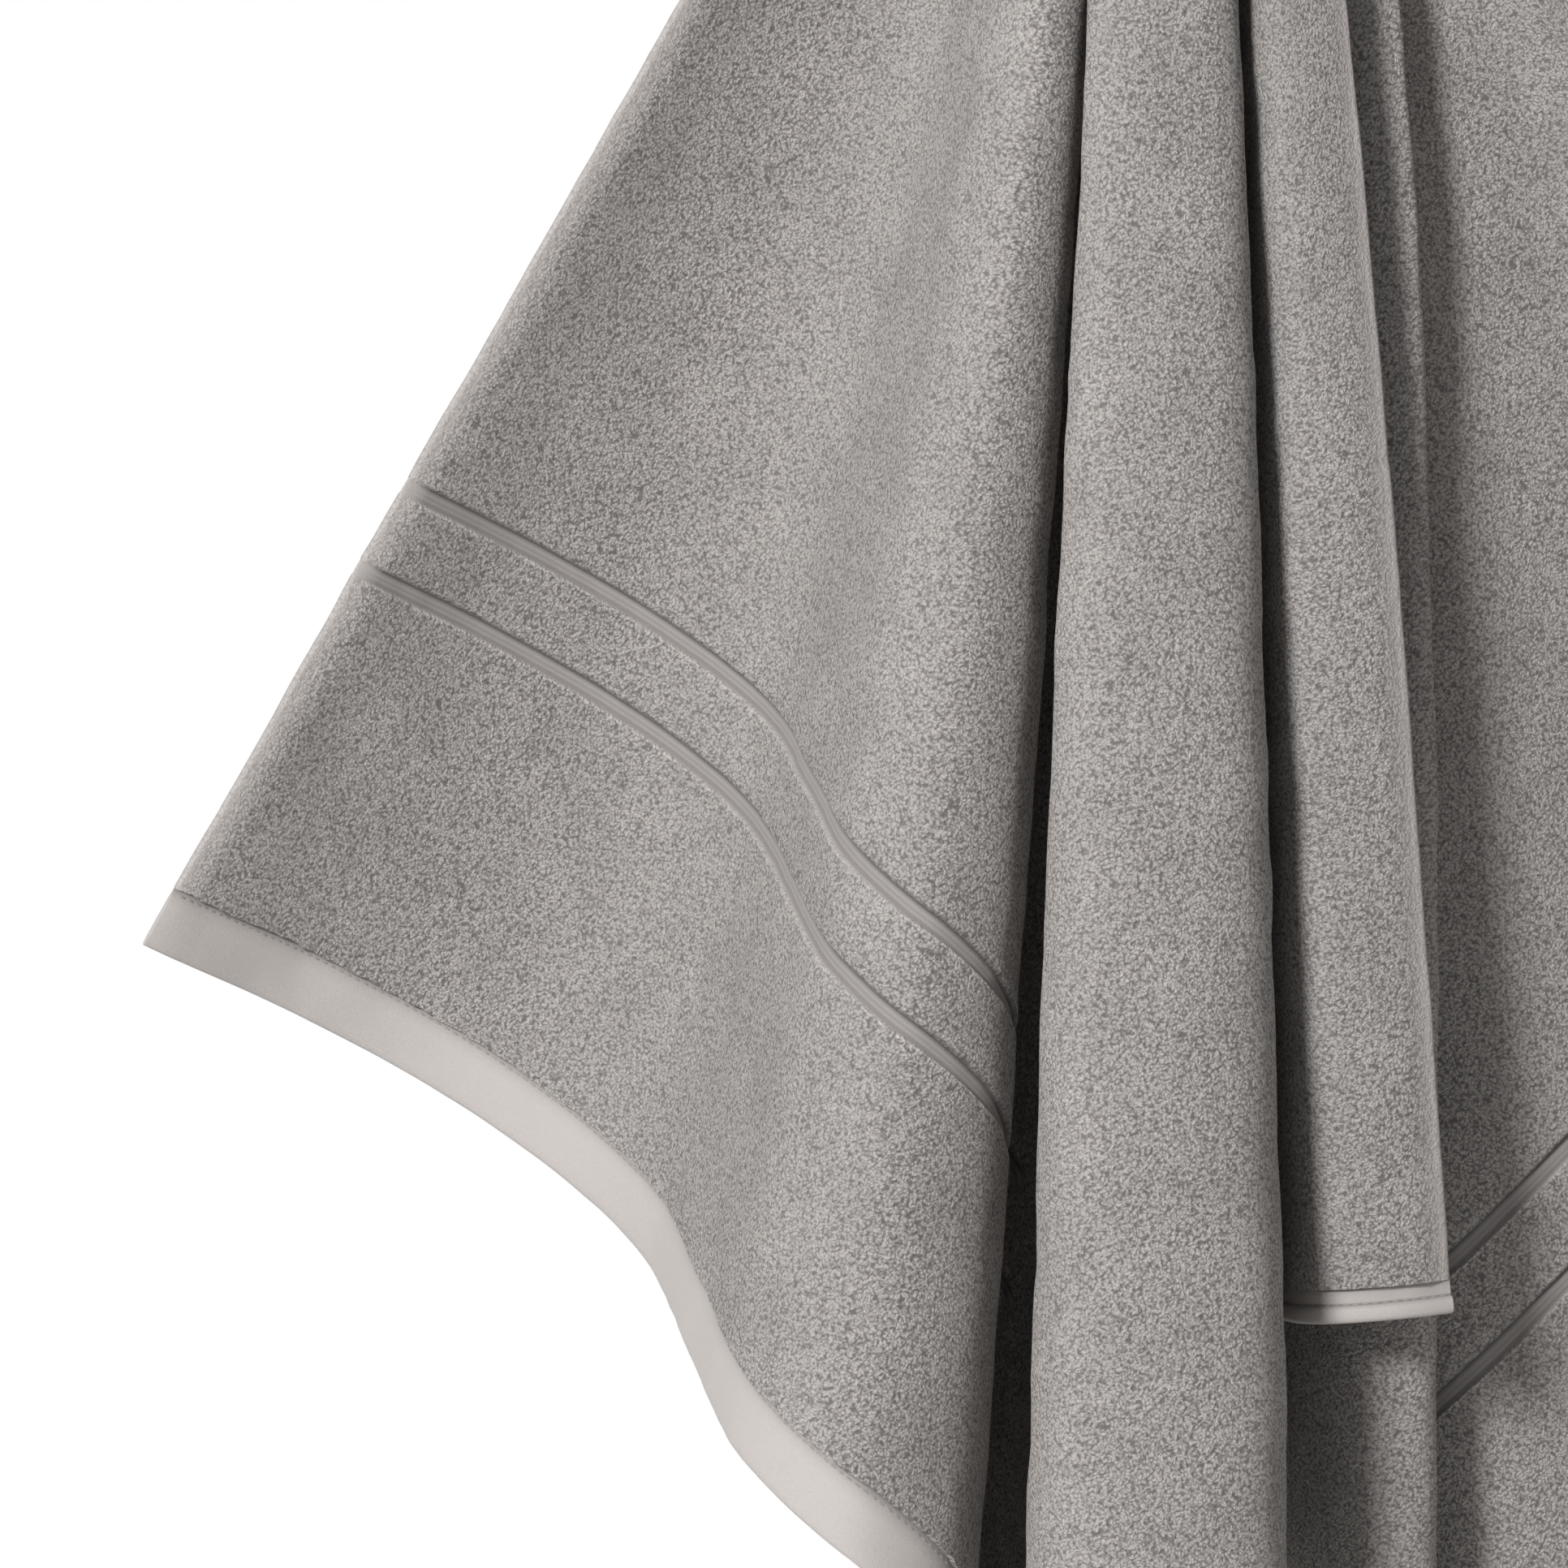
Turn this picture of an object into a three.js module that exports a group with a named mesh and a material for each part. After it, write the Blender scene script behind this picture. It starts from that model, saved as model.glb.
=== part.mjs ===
// Bath towel set: a bath towel and a hand towel, each hung by its loop from one hook.
// Millimetres, +Z up. The origin is where both loops rest on the hook, and the front of the set faces -Y.
import * as THREE from 'three';

// ---- Cut sizes of the cloth
// The bath towel's loop is a little left of the middle of its long side.
const BATH_LEFT_LENGTH = 721;
const BATH_RIGHT_LENGTH = 780;
const BATH_WIDTH = 760;
const HAND_WIDTH = 400;
const HAND_LENGTH = 760;

// ---- Sewn edges and thicknesses
const BATH_HEM = 23;
const HAND_HEM = 12;
const SELVEDGE = 6.5;
const PILE_THICKNESS = 5;
const HEM_THICKNESS = 3.2;
const SELVEDGE_THICKNESS = 3;
const THREAD_WIDTH = 1;
const THREAD_THICKNESS = 0.6;
const THREAD_IN_FROM_PILE = 3;
const SEAM_GAP = 1;
const CORNER_GAP = 3.2;
const FOLD_GAP = 1.2;

// ---- How the set hangs
const BATH_APEX = new THREE.Vector3(0, 0, -28);
const HAND_APEX = new THREE.Vector3(4, -16, -18);
const REFERENCE = 834;
const SHOULDER = 200;
const SAMPLES_PER_STRETCH = 10;
const BUNDLE_CENTRE = { x: 10, y: 60 };
const BATH_GATHER_END = 127.5;
const BATH_CLOTH_START = 130;
const HAND_GATHER_END = 168;
const HAND_CLOTH_START = 174;
const FULL_THICKNESS_LEVEL = 640;

// ---- Hanging loops
const LOOP_INNER_WIDTH = 14;
const LOOP_INNER_HEIGHT = 24;
const TAPE_THICKNESS = 1.2;
const TAPE_WIDTH = 8;
const HAND_LOOP_Y = -13;

const DEGREE = Math.PI / 180;
const LEFT_FOLD = 34.6 * DEGREE;
const RIGHT_FOLD = 144.2 * DEGREE;

const cloth = new THREE.MeshStandardMaterial({ color: 0xa39c96, roughness: 0.95, metalness: 0 });
const flatWeave = new THREE.MeshStandardMaterial({ color: 0xb3ada8, roughness: 0.85, metalness: 0 });
const thread = new THREE.MeshStandardMaterial({ color: 0xa9a39e, roughness: 0.7, metalness: 0 });
const tape = new THREE.MeshStandardMaterial({ color: 0xb0aaa5, roughness: 0.8, metalness: 0 });

// ---- Plan of the folds at the reference distance from the hanging point
// A point is [x, y, shoulder x, shoulder y]. The shoulder is the part of x and y that the cloth
// reaches soon after the hanging point. The rest grows with distance, as on a cone.
function ray(aside, forward, shoulder = 0) {
  const x = REFERENCE * Math.sin(aside * DEGREE);
  const y = -REFERENCE * Math.sin(forward * DEGREE);
  return [x, y, shoulder, 0];
}

const leftWingPlan = [
  ray(-29.8, -5.5), ray(-25, -8.6), ray(-20.5, -9.6), ray(-16.6, -8.4), ray(-14, -6),
  ray(-12.2, -1.8), ray(-10.4, 2.3), ray(-7.8, 4, -8), ray(-5.7, 3, -12), ray(-4.85, 1.2, -14),
];
const leftValleyPlan = [
  [-71, 14, -16, 0], [-70, 50, -16, 0], [-60, 70, -10, 0],
  [-49, 52, -5, 0], [-45, 10, -5, 0], [-46, -32, -14, 0],
];
const centrePleatPlan = [
  [-50, -62, -26, -6], [-38, -84, -16, -10], [-5, -93, 0, -10], [21, -86, 10, -10],
  [32, -66, 17, -8], [28, -30, 13, -4], [22, 20, 8, 0],
];
const backBundlePlan = [
  [18, 66, 4, 0], [8, 90, 0, 0], [0, 70, 0, 0], [0, 30, 0, 0], [-2, -12, 0, 0], [-11, -25, 0, 0],
  [-20, -12, 0, 0], [-24, 25, 0, 0], [-30, 70, 0, 0], [-52, 86, 0, 0], [-90, 82, 0, 0],
  [-124, 88, 0, 0], [-128, 116, 0, 0], [-90, 130, 0, 0], [-30, 126, 0, 0], [20, 134, 0, 0],
  [80, 142, 0, 0], [136, 134, 0, 0], [144, 110, 0, 0], [116, 98, 0, 0], [88, 92, 0, 0],
  [60, 88, 0, 0],
];
const sidePleatPlan = [
  [44, 80, 14, 0], [38, 66, 16, 0], [39, 54, 20, 0], [44, 38, 30, -2], [52, 22, 42, -4],
  [61, 8, 56, -6], [69, 1, 72, -8], [78, -2, 88, -8], [85, 2, 103, -8], [87, 12, 97, -8],
  [83, 21, 80, -6], [74, 27, 56, -4], [66, 33, 34, 0], [68, 43, 24, 0],
];
const rightWingPlan = [
  ray(5.8, -3, 20), ray(7.6, -2.6, 14), ray(9.3, -2.7, 8), ray(11, -3, 4), ray(15, -4.1),
  ray(19, -4.1), ray(22, -2.6), ray(25, 1), ray(27, 5), ray(29, 6), ray(31, 2), ray(32.5, -3),
];
const handTowelPlan = [
  [97, -30, 41, -14], [83, -36, 36, -14], [67, -38, 31, -14], [54, -34, 26, -12],
  [45, -20, 22, -10], [37, 14, 18, -6], [31, 46, 12, 0], [29, 68, 10, 0],
];

const fixed = (points) => points.map((point) => ({ point, loose: false }));
const loose = (points) => points.map((point) => ({ point, loose: true }));
const bathPlan = [
  ...fixed(leftWingPlan), ...fixed(leftValleyPlan), ...fixed(centrePleatPlan),
  ...loose(backBundlePlan), ...fixed(sidePleatPlan), ...fixed(rightWingPlan),
];
const handPlan = fixed(handTowelPlan);

// ---- Shape of the cloth at one distance from its hanging point
const spread = (level) => (1 - Math.exp(-level / SHOULDER)) / (1 - Math.exp(-REFERENCE / SHOULDER));

function levelPoints(plan, apex, level, fullness) {
  const grown = level / REFERENCE;
  const controls = plan.map(({ point: [x, y, shoulderX, shoulderY], loose: gathered }) => {
    const place = new THREE.Vector3();
    place.x = apex.x + (x - apex.x - shoulderX) * grown + shoulderX * spread(level);
    place.y = apex.y + (y - apex.y - shoulderY) * grown + shoulderY * spread(level);
    if (gathered) {
      place.x = grown * BUNDLE_CENTRE.x + fullness * (place.x - grown * BUNDLE_CENTRE.x);
      place.y = grown * BUNDLE_CENTRE.y + fullness * (place.y - grown * BUNDLE_CENTRE.y);
    }
    return place;
  });
  const curve = new THREE.CatmullRomCurve3(controls, false, 'centripetal');
  const points = curve.getPoints(SAMPLES_PER_STRETCH * (controls.length - 1));
  const lengths = [0];
  points.forEach((point, index) => {
    const aside = Math.hypot(point.x - apex.x, point.y - apex.y);
    point.z = apex.z - Math.sqrt(Math.max(level * level - aside * aside, 1));
    if (index > 0) {
      lengths.push(lengths[index - 1] + point.distanceTo(points[index - 1]));
    }
  });
  return { points, lengths, total: lengths[lengths.length - 1] };
}

// The folds behind are as full as the half circle of cloth at this level needs.
const FULLNESS_STEP = 20;
const fullnessTable = [];
for (let step = 0; step <= 58; step += 1) {
  const level = Math.max(step, 1) * FULLNESS_STEP;
  let low = 0.3;
  let high = 1.8;
  for (let round = 0; round < 20; round += 1) {
    const middle = (low + high) / 2;
    if (levelPoints(bathPlan, BATH_APEX, level, middle).total > Math.PI * level) {
      high = middle;
    } else {
      low = middle;
    }
  }
  fullnessTable.push((low + high) / 2);
}

function fullnessAt(level) {
  const place = Math.min(level / FULLNESS_STEP, fullnessTable.length - 1.001);
  const step = Math.floor(place);
  return THREE.MathUtils.lerp(fullnessTable[step], fullnessTable[step + 1], place - step);
}

function pointAlong({ points, lengths }, distance) {
  let low = 0;
  let high = lengths.length - 1;
  while (high - low > 1) {
    const middle = (low + high) >> 1;
    if (lengths[middle] > distance) {
      high = middle;
    } else {
      low = middle;
    }
  }
  const share = (distance - lengths[low]) / (lengths[high] - lengths[low]);
  return points[low].clone().lerp(points[high], share);
}

const bathLevels = new Map();
function bathPoint(level, angle) {
  if (!bathLevels.has(level)) {
    bathLevels.set(level, levelPoints(bathPlan, BATH_APEX, level, fullnessAt(level)));
  }
  const line = bathLevels.get(level);
  return pointAlong(line, (angle / Math.PI) * line.total);
}

// Flat cloth: along runs left to right from the hanging point, across runs from the top edge down.
function bathFlat(along, across) {
  const angle = Math.atan2(across, -along);
  return bathPoint(Math.hypot(along, across), angle < -Math.PI / 2 ? angle + 2 * Math.PI : angle);
}

// The hand towel's flat cloth: from its free selvedge inwards, and from its top edge down.
const handLevels = new Map();
function handFlat(inwards, down) {
  if (!handLevels.has(down)) {
    handLevels.set(down, levelPoints(handPlan, HAND_APEX, down, 1));
  }
  const line = handLevels.get(down);
  return pointAlong(line, (inwards / HAND_WIDTH) * line.total);
}

// ---- Closed sheets
// A flat box is bent onto a surface: flat(a, b) is a place on the flat cloth for a and b from 0 to 1.
function drapedSheet(columns, rows, surface, flat, thickness, lift = 0) {
  const geometry = new THREE.BoxGeometry(1, 1, 1, columns, rows, 1);
  const position = geometry.attributes.position;
  const nudge = 3;
  for (let index = 0; index < position.count; index += 1) {
    const a = position.getX(index) + 0.5;
    const b = position.getY(index) + 0.5;
    const side = position.getZ(index);
    const [x, y] = flat(a, b);
    const alongX = surface(x + nudge, y).sub(surface(x - nudge, y));
    const alongY = surface(x, y + nudge).sub(surface(x, y - nudge));
    const normal = alongX.cross(alongY).normalize();
    const place = surface(x, y).addScaledVector(normal, side * thickness(x, y) + lift);
    position.setXYZ(index, place.x, place.y, place.z);
  }
  geometry.computeVertexNormals();
  return geometry;
}

// Cloth is squeezed thinner where it is gathered.
const squeeze = (level) => Math.min(1, (level / FULL_THICKNESS_LEVEL) ** 1.5);
const mix = THREE.MathUtils.lerp;

const set = new THREE.Group();
function add(name, geometry, material) {
  const mesh = new THREE.Mesh(geometry, material);
  mesh.name = name;
  set.add(mesh);
  return mesh;
}

// ---- Bath towel: pile cloth
const hemLine = { left: BATH_LEFT_LENGTH - BATH_HEM, right: BATH_RIGHT_LENGTH - BATH_HEM };
const edgeLine = BATH_WIDTH - SELVEDGE;

function clothEnd(angle) {
  const beside = angle < Math.PI / 2 ? hemLine.left : hemLine.right;
  const toHem = (beside - SEAM_GAP) / Math.abs(Math.cos(angle));
  const toEdge = (edgeLine - CORNER_GAP) / Math.sin(angle);
  return Math.min(toHem, toEdge);
}

const bathThickness = (along, across) => squeeze(Math.hypot(along, across));

function pilePanel(name, columns, rows, angleAt) {
  const flat = (a, b) => {
    const level = mix(BATH_CLOTH_START, clothEnd(angleAt(a, REFERENCE)), b);
    const angle = angleAt(a, level);
    return [-level * Math.cos(angle), level * Math.sin(angle)];
  };
  const thickness = (along, across) => PILE_THICKNESS * bathThickness(along, across);
  add(name, drapedSheet(columns, rows, bathFlat, flat, thickness), cloth);
}

const beside = (width, level) => Math.asin(Math.min(width / level, 1));
const selvedgeAngle = (level) => beside(SELVEDGE + SEAM_GAP, level);
const foldAngle = (level) => beside(FOLD_GAP / 2, level);

const leftWingAngle = (a, level) => mix(selvedgeAngle(level), LEFT_FOLD - foldAngle(level), a);
const rightWingAngle = (a, level) => mix(RIGHT_FOLD + foldAngle(level), Math.PI - selvedgeAngle(level), a);
const wingColumns = { left: 18, right: 24 };
pilePanel('bath_towel_left_wing', wingColumns.left, 12, leftWingAngle);
pilePanel('bath_towel_right_wing', wingColumns.right, 12, rightWingAngle);

// The centre's columns meet both lower corners of the pile cloth.
const leftCornerAngle = Math.atan2(edgeLine - CORNER_GAP, hemLine.left - SEAM_GAP);
const rightCornerAngle = Math.atan2(edgeLine - CORNER_GAP, hemLine.right - SEAM_GAP);
const centreColumns = { left: 19, middle: 84, right: 14 };
const centreTotal = centreColumns.left + centreColumns.middle + centreColumns.right;

function centreAngle(a, level) {
  const column = a * centreTotal;
  if (column < centreColumns.left) {
    return mix(LEFT_FOLD + foldAngle(level), leftCornerAngle, column / centreColumns.left);
  }
  const past = column - centreColumns.left;
  if (past < centreColumns.middle) {
    return mix(leftCornerAngle, Math.PI - rightCornerAngle, past / centreColumns.middle);
  }
  const last = (past - centreColumns.middle) / centreColumns.right;
  return mix(Math.PI - rightCornerAngle, RIGHT_FOLD - foldAngle(level), last);
}
pilePanel('bath_towel_centre_folds', centreTotal, 12, centreAngle);

// ---- Bath towel: end hems, with their stitching, in a wing part and a corner part
// Each hem has the columns of the pile cloth beside it, so that the two lie edge to edge in the folds.
function hemStrip(name, side, start, end, columns, acrossAt) {
  const flat = (a, b) => {
    const along = mix(start, end, side < 0 ? b : 1 - b);
    return [side * along, acrossAt(a, along)];
  };
  add(name, drapedSheet(columns, 1, bathFlat, flat, () => HEM_THICKNESS), flatWeave);
}

function hemThread(name, side, start, columns, acrossAt) {
  const flat = (a, b) => {
    const half = THREAD_WIDTH / 2;
    const along = start + THREAD_IN_FROM_PILE + mix(-half, half, side < 0 ? b : 1 - b);
    return [side * along, acrossAt(THREE.MathUtils.clamp(a, 0.01, 0.99), along)];
  };
  const proud = HEM_THICKNESS / 2 + SEAM_GAP + THREAD_THICKNESS / 2;
  add(name, drapedSheet(columns, 1, bathFlat, flat, () => THREAD_THICKNESS, -proud), thread);
}

function wingAcross(fold) {
  return (a, along) => along * Math.tan(mix(0, fold - foldAngle(along), a));
}

// The last column takes the hem from the corner of the pile cloth to the towel's edge.
function cornerAcross(fold, cornerAngle, line, columns) {
  const atLine = (angle) => line * Math.tan(angle);
  const whole = BATH_WIDTH - atLine(fold);
  return (a, along) => {
    const first = along * Math.tan(fold + foldAngle(along));
    const column = a * columns;
    if (column > columns - 1) {
      const beforeLast = (atLine(cornerAngle) - atLine(fold)) / whole;
      return mix(first, BATH_WIDTH, mix(beforeLast, 1, column - (columns - 1)));
    }
    const angle = mix(fold, cornerAngle, column / (columns - 1));
    return mix(first, BATH_WIDTH, (atLine(angle) - atLine(fold)) / whole);
  };
}

function endHem(word, side, line, end, fold, cornerAngle, columns, cornerColumns) {
  const across = wingAcross(fold);
  hemStrip(`${word}_wing_hem`, side, line, end, columns, across);
  hemThread(`${word}_wing_hem_thread`, side, line, columns, across);
  const cornerStart = line - SEAM_GAP + CORNER_GAP;
  const cornerPlace = cornerAcross(fold, cornerAngle, line, cornerColumns);
  hemStrip(`${word}_corner_hem`, side, cornerStart, end, cornerColumns, cornerPlace);
}
endHem(
  'left',
  -1,
  hemLine.left,
  BATH_LEFT_LENGTH,
  LEFT_FOLD,
  leftCornerAngle,
  wingColumns.left,
  centreColumns.left + 1,
);
endHem(
  'right',
  1,
  hemLine.right,
  BATH_RIGHT_LENGTH,
  Math.PI - RIGHT_FOLD,
  rightCornerAngle,
  wingColumns.right,
  centreColumns.right + 1,
);

// ---- Bath towel: selvedges
function upperSelvedge(name, side, line) {
  const from = BATH_CLOTH_START + SEAM_GAP;
  const to = line - SEAM_GAP;
  const flat = (a, b) => [side * mix(from, to, side < 0 ? 1 - a : a), mix(0, SELVEDGE, b)];
  const thickness = (along, across) => SELVEDGE_THICKNESS * bathThickness(along, across);
  add(name, drapedSheet(12, 1, bathFlat, flat, thickness), flatWeave);
}
upperSelvedge('upper_left_selvedge', -1, hemLine.left);
upperSelvedge('upper_right_selvedge', 1, hemLine.right);

const lowerEdgeFlat = (a, b) => {
  const angle = mix(leftCornerAngle, Math.PI - rightCornerAngle, a);
  return [-(edgeLine - CORNER_GAP) / Math.tan(angle), mix(edgeLine, BATH_WIDTH, b)];
};
const lowerEdge = drapedSheet(
  centreColumns.middle,
  1,
  bathFlat,
  lowerEdgeFlat,
  () => SELVEDGE_THICKNESS,
);
add('lower_selvedge', lowerEdge, flatWeave);

// ---- Gathered tops: the bunched cloth under each loop, as plain closed fans
function bathFan(aside, level) {
  const angle = aside * DEGREE;
  return new THREE.Vector3(level * Math.sin(angle), 0, BATH_APEX.z - level * Math.cos(angle));
}
const bathFanFlat = (a, b) => [mix(-29.8, 32.5, a), mix(4, BATH_GATHER_END, b)];
const bathFanThickness = (aside, level) => mix(3, 14, level / BATH_GATHER_END);
const bathFanSheet = drapedSheet(10, 4, bathFan, bathFanFlat, bathFanThickness);
add('bath_towel_gathered_top', bathFanSheet, cloth);

function handFan(aside, level) {
  const grown = level / HAND_GATHER_END;
  const x = mix(1, 29, grown) + aside * mix(2, 8, grown);
  return new THREE.Vector3(x, mix(-14, -20, grown), HAND_APEX.z - level);
}
const handFanFlat = (a, b) => [mix(-1, 1, a), mix(8, HAND_GATHER_END, b)];
const handFanThickness = (aside, level) => mix(5, 11, level / HAND_GATHER_END);
add('hand_towel_gathered_top', drapedSheet(4, 4, handFan, handFanFlat, handFanThickness), cloth);

// ---- Hand towel
const handBodyEnd = HAND_LENGTH - HAND_HEM;
const handEdge = 2 * SELVEDGE;
const handThickness = (inwards, down) => PILE_THICKNESS * squeeze(down);
const handRows = (b) => mix(HAND_CLOTH_START, handBodyEnd - SEAM_GAP, b);
const handBodyFlat = (a, b) => [mix(handEdge + 3 * SEAM_GAP, HAND_WIDTH, a), handRows(b)];
add('hand_towel', drapedSheet(20, 12, handFlat, handBodyFlat, handThickness), cloth);

const handSelvedgeFlat = (a, b) => [mix(0, handEdge, a), handRows(b)];
const handSelvedgeThickness = (inwards, down) => SELVEDGE_THICKNESS * squeeze(down);
const handSelvedge = drapedSheet(1, 12, handFlat, handSelvedgeFlat, handSelvedgeThickness);
add('hand_towel_selvedge', handSelvedge, flatWeave);

const handHemFlat = (a, b) => [mix(0, HAND_WIDTH, a), mix(handBodyEnd, HAND_LENGTH, b)];
add('hand_towel_hem', drapedSheet(20, 1, handFlat, handHemFlat, () => HEM_THICKNESS), flatWeave);

const handThreadLine = handBodyEnd + HAND_HEM / 2;
const handThreadFlat = (a, b) => {
  const down = handThreadLine + mix(-0.5, 0.5, b) * THREAD_WIDTH;
  return [mix(0.01, 0.99, a) * HAND_WIDTH, down];
};
const handThreadProud = HEM_THICKNESS / 2 + SEAM_GAP + THREAD_THICKNESS / 2;
const handThread = drapedSheet(
  20,
  1,
  handFlat,
  handThreadFlat,
  () => THREAD_THICKNESS,
  handThreadProud,
);
add('hand_towel_hem_thread', handThread, thread);

// ---- Hanging loops: a band of tape that rests on the hook at its inner top
function hangingLoop(name, y) {
  const halfWidth = LOOP_INNER_WIDTH / 2;
  const halfHeight = LOOP_INNER_HEIGHT / 2;
  const outline = new THREE.Shape();
  outline.absellipse(0, -halfHeight, halfWidth + TAPE_THICKNESS, halfHeight + TAPE_THICKNESS, 0, 2 * Math.PI);
  const inside = new THREE.Path();
  inside.absellipse(0, -halfHeight, halfWidth, halfHeight, 0, 2 * Math.PI, true);
  outline.holes.push(inside);
  const shape = { depth: TAPE_WIDTH, bevelEnabled: false, curveSegments: 20 };
  const loop = add(name, new THREE.ExtrudeGeometry(outline, shape), tape);
  loop.rotation.x = Math.PI / 2;
  loop.position.y = y + TAPE_WIDTH / 2;
}
hangingLoop('bath_towel_loop', 0);
hangingLoop('hand_towel_loop', HAND_LOOP_Y);

export default set;
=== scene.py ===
# %% [markdown]
# # A bath towel and a hand towel on one hook
# Both towels hang from sewn loops, so their cloth runs together at the top and falls in long folds.
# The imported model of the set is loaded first. It fixes every size, and each cloth piece made here
# takes the place of one or more of its plain solids.

# %% Load the fixed frame
import math

import bpy
import numpy as np
from mathutils import Matrix, Vector, noise


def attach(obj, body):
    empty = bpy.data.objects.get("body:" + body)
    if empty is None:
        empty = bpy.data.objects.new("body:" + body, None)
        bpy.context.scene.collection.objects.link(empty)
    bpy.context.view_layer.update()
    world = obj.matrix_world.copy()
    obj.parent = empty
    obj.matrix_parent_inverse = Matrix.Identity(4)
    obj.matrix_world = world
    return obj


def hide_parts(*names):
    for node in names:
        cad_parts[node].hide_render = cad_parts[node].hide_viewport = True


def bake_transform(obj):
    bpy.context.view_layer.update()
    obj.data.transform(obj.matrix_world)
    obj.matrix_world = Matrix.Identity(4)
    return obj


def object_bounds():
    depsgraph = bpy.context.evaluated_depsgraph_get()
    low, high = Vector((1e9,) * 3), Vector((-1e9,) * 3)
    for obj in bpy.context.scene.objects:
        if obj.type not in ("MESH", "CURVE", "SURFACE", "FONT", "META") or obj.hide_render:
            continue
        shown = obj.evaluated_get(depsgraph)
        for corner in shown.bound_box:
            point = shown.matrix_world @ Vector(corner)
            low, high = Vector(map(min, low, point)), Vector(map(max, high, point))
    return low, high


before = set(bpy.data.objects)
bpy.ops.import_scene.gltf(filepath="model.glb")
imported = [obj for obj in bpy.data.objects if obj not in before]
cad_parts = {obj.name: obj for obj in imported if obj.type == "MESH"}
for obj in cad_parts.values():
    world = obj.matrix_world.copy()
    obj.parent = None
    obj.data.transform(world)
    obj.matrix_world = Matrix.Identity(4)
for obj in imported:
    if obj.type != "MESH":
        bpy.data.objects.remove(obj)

cad_low, cad_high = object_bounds()
print("CAD box", [round(x, 3) for x in cad_low], [round(x, 3) for x in cad_high])

# %% [markdown]
# ## Camera
# The set is seen straight from the front, from far away through a long lens, so that the upright
# folds stay parallel. The view takes in the middle of the towels and leaves out the hook.

# %% Camera
VIEW_WIDTH = 0.5367
LENS = 200
SENSOR = 36
aim = Vector((-0.1339, 0.0, -0.5935))
distance = VIEW_WIDTH * LENS / SENSOR
lens = bpy.data.cameras.new("front view")
lens.lens = LENS
lens.sensor_width = SENSOR
lens.clip_end = 20
camera = bpy.data.objects.new("front view", lens)
camera.location = aim + Vector((0, -distance, 0))
camera.rotation_euler = (math.radians(90), 0, 0)
bpy.context.scene.collection.objects.link(camera)
bpy.context.scene.camera = camera
print("camera stands", round(distance, 2), "m in front")

# %% [markdown]
# ## Light and floor
# White surroundings light the cloth softly from everywhere. One lamp at the front left is much
# stronger, so faces that look left are lighter and the valleys between folds go dark.

# %% Light and floor
def soft_lamp(name, place, size, power):
    light = bpy.data.lights.new(name, "AREA")
    light.shape = "DISK"
    light.size = size
    light.energy = power
    lamp = bpy.data.objects.new(name, light)
    lamp.location = place
    lamp.rotation_euler = (aim - Vector(place)).to_track_quat("-Z", "Y").to_euler()
    bpy.context.scene.collection.objects.link(lamp)
    return lamp


soft_lamp("key at the front left", (-1.35, -2.3, 0.35), 0.7, 94)
soft_lamp("fill at the front right", (1.0, -2.6, 0.3), 1.2, 2)
soft_lamp("light behind", (0.6, 2.4, 0.6), 1.6, 20)

world = bpy.data.worlds.new("white room")
bpy.context.scene.world = world
world.use_nodes = True
room = world.node_tree
room.nodes["Background"].inputs["Color"].default_value = (1, 1, 1, 1)
room.nodes["Background"].inputs["Strength"].default_value = 0.28
seen = room.nodes.new("ShaderNodeBackground")
seen.inputs["Color"].default_value = (1, 1, 1, 1)
seen.inputs["Strength"].default_value = 1.0
ray = room.nodes.new("ShaderNodeLightPath")
choose = room.nodes.new("ShaderNodeMixShader")
room.links.new(ray.outputs["Is Camera Ray"], choose.inputs[0])
room.links.new(room.nodes["Background"].outputs[0], choose.inputs[1])
room.links.new(seen.outputs[0], choose.inputs[2])
room.links.new(choose.outputs[0], room.nodes["World Output"].inputs["Surface"])

bpy.ops.object.select_all(action="DESELECT")
bpy.ops.mesh.primitive_circle_add(vertices=96, radius=1.4, fill_type="NGON")
floor = bpy.context.object
floor.name = "floor"
floor.data.transform(Matrix.Translation((0, 0, cad_low[2] - 0.03)))
pale = bpy.data.materials.new("pale floor")
pale.use_nodes = True
pale.node_tree.nodes["Principled BSDF"].inputs["Base Color"].default_value = (0.8, 0.8, 0.79, 1)
pale.node_tree.nodes["Principled BSDF"].inputs["Roughness"].default_value = 0.8
floor.data.materials.append(pale)
bpy.context.scene.view_settings.view_transform = "Standard"
print("lamps and floor are in place")

# %% [markdown]
# ## How the cloth hangs
# A towel hung from one point falls like a cone: every straight line on the cloth that starts at the
# loop stays straight. So the whole drape is known from one cut across it. The points below are that
# cut, seen from above, 834 mm from the loop. Each point grows with distance from the loop, and the
# "shoulder" part of a point is reached soon after the loop, where folds crowd side by side.

# %% The cut across the folds, in millimetres: x, y, shoulder x, shoulder y
REACH = 834.0
SHOULDER = 200.0


def ray_point(aside, forward, shoulder=0.0):
    x = REACH * math.sin(math.radians(aside))
    return (x, -REACH * math.sin(math.radians(forward)), shoulder, 0.0)


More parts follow.
